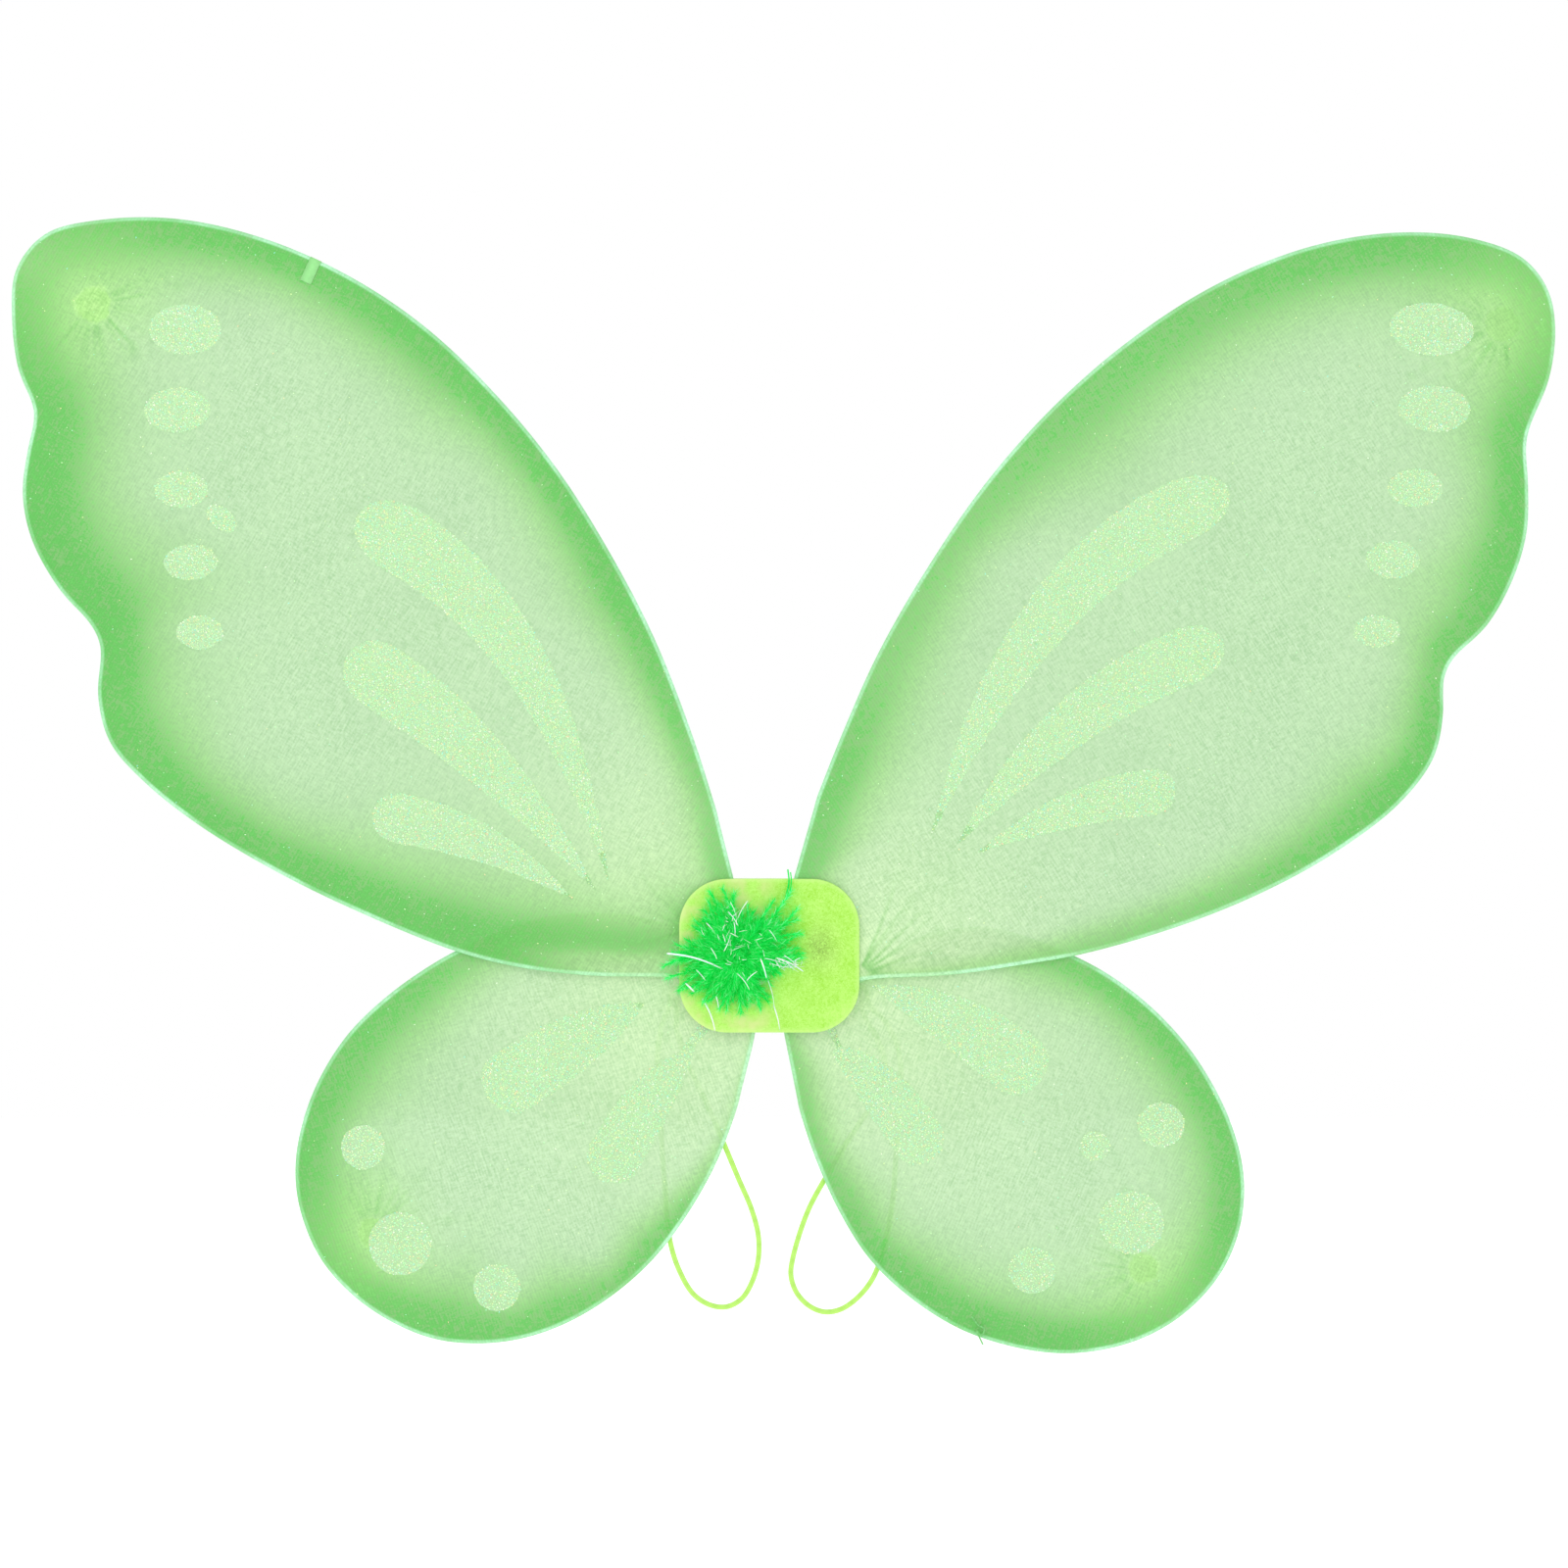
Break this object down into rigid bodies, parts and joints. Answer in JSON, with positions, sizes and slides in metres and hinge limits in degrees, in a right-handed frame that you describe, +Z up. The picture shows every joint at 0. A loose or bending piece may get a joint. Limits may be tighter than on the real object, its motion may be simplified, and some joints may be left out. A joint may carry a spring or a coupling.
{
  "type": "fairy wings",
  "caption": "Sheer nylon costume wings on wire hoops, held between two felt pads with a feather tuft and worn on the back by elastic arm loops.",
  "frame": {"origin": "centre of the back pad's outer face, which rests on the wearer's back", "axes": "+Z up as worn, +X to the viewer's right when the decorated side is seen, +Y towards the wearer"},
  "size_m": [0.5824, 0.0259, 0.4288],
  "materials": {
    "lime_felt": "matt pressed felt",
    "hot_melt_glue": "cloudy set glue",
    "marabou": "fluffy dyed down",
    "tinsel": "iridescent film",
    "wrapped_wire": "steel wire wrapped in mint paper",
    "binding_tape": "thread and tape",
    "sheer_nylon": "sheer woven nylon, sprayed green at the edge",
    "tied_nylon": "gathered nylon",
    "green_tape": "thin adhesive tape",
    "glitter": "fine iridescent glitter in clear glue",
    "lime_elastic": "round braided elastic"
  },
  "bodies": {
    "centre": {"front_pad": "lime_felt", "back_pad": "lime_felt", "glue_core": "hot_melt_glue", "feather_tuft": "marabou", "tuft_glue": "hot_melt_glue", "tinsel_strands": "tinsel", "upper_left_root": "wrapped_wire", "upper_right_root": "wrapped_wire", "lower_left_root": "wrapped_wire", "lower_right_root": "wrapped_wire", "upper_left_binding": "binding_tape", "upper_right_binding": "binding_tape", "lower_left_binding": "binding_tape", "lower_right_binding": "binding_tape", "upper_left_gather": "sheer_nylon", "upper_right_gather": "sheer_nylon", "lower_left_gather": "sheer_nylon", "lower_right_gather": "sheer_nylon", "left_loop_tails": "lime_elastic", "right_loop_tails": "lime_elastic", "left_loop_knot": "lime_elastic", "right_loop_knot": "lime_elastic"},
    "upper_left_wing": {"upper_left_hoop": "wrapped_wire", "upper_left_cover": "sheer_nylon", "upper_left_glitter": "glitter", "upper_left_knot": "tied_nylon", "upper_left_tape": "green_tape"},
    "upper_right_wing": {"upper_right_hoop": "wrapped_wire", "upper_right_cover": "sheer_nylon", "upper_right_glitter": "glitter", "upper_right_knot": "tied_nylon"},
    "lower_left_wing": {"lower_left_hoop": "wrapped_wire", "lower_left_cover": "sheer_nylon", "lower_left_glitter": "glitter", "lower_left_knot": "tied_nylon"},
    "lower_right_wing": {"lower_right_hoop": "wrapped_wire", "lower_right_cover": "sheer_nylon", "lower_right_glitter": "glitter", "lower_right_knot": "tied_nylon"},
    "left_loop": {"left_arm_loop": "lime_elastic"},
    "right_loop": {"right_arm_loop": "lime_elastic"}
  },
  "joints": [
    {"name": "upper_left_sweep", "type": "hinge", "parent": "centre", "child": "upper_left_wing", "pos_m": [-0.03385, -0.0075, 0.0175], "axis": [0.342, 0, 0.9397], "range_deg": [0, 35], "stiffness_Nm_per_rad": 0.3},
    {"name": "lower_left_sweep", "type": "hinge", "parent": "centre", "child": "lower_left_wing", "pos_m": [-0.03245, -0.0049, -0.0205], "axis": [-0.5, 0, 0.866], "range_deg": [0, 26.25], "stiffness_Nm_per_rad": 0.2},
    {"name": "upper_right_sweep", "type": "hinge", "parent": "centre", "child": "upper_right_wing", "pos_m": [0.03385, -0.0075, 0.0175], "axis": [0.342, 0, -0.9397], "range_deg": [0, 35], "stiffness_Nm_per_rad": 0.3},
    {"name": "lower_right_sweep", "type": "hinge", "parent": "centre", "child": "lower_right_wing", "pos_m": [0.03245, -0.0049, -0.0205], "axis": [-0.5, 0, -0.866], "range_deg": [0, 26.25], "stiffness_Nm_per_rad": 0.2},
    {"name": "left_loop_swing", "type": "hinge", "parent": "centre", "child": "left_loop", "pos_m": [-0.036, -0.0027, -0.017], "axis": [1, 0, 0], "range_deg": [0, 90]},
    {"name": "right_loop_swing", "type": "hinge", "parent": "centre", "child": "right_loop", "pos_m": [0.036, -0.0027, -0.017], "axis": [1, 0, 0], "range_deg": [0, 90]}
  ],
  "couplings": [
    {"joint": "lower_left_sweep", "follows": "upper_left_sweep", "ratio": 0.75},
    {"joint": "lower_right_sweep", "follows": "upper_right_sweep", "ratio": 0.75}
  ]
}
